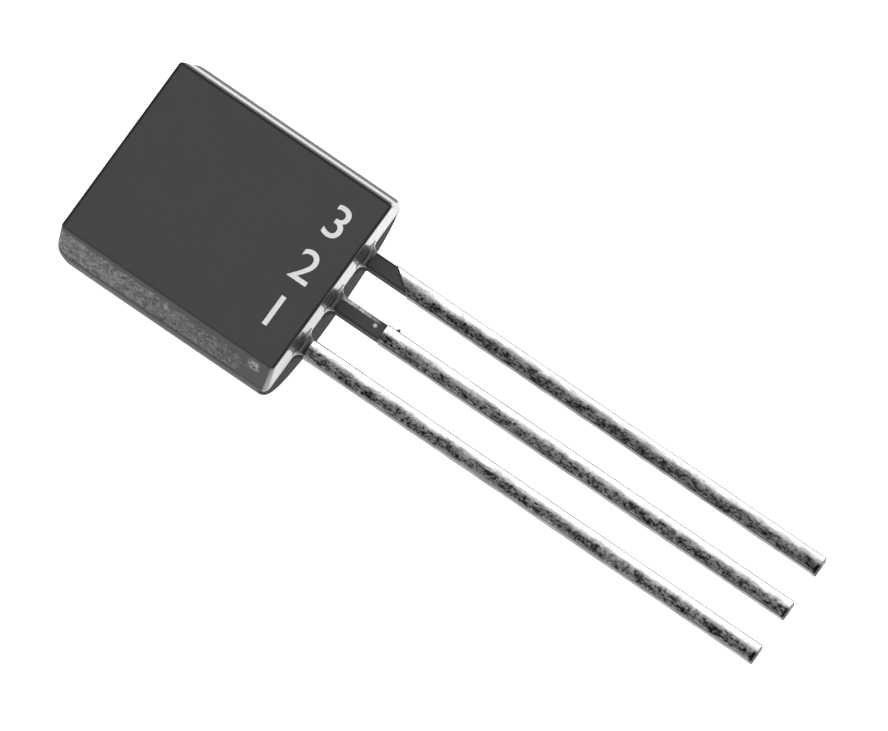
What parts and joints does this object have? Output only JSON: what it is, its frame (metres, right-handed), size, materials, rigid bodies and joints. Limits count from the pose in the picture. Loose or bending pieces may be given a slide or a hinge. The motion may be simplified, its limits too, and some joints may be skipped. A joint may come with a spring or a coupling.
{
  "type": "to-92 transistor",
  "caption": "Through-hole transistor: a black D-section moulded body with a flat face, and straight tinned leads in one row from its end.",
  "frame": {"origin": "bottom centre of the whole part as it lies on its half-round back, body and leads together", "axes": "+Z out of the flat face, -Y along the leads towards their tips, +X across the row from pin 1 (emitter) to pin 3 (base)"},
  "size_m": [0.0056, 0.0188, 0.0038],
  "materials": {
    "moulding_compound": "satin",
    "tinned_lead": "satin",
    "silicon": "polished",
    "bond_layer": "satin",
    "bond_wire": "gloss"
  },
  "bodies": {
    "root": {"body": "moulding_compound", "emitter_lead": "tinned_lead", "collector_lead": "tinned_lead", "base_lead": "tinned_lead", "silicon_die": "silicon", "die_attach": "bond_layer", "emitter_bond_wire": "bond_wire", "base_bond_wire": "bond_wire"}
  },
  "joints": []
}
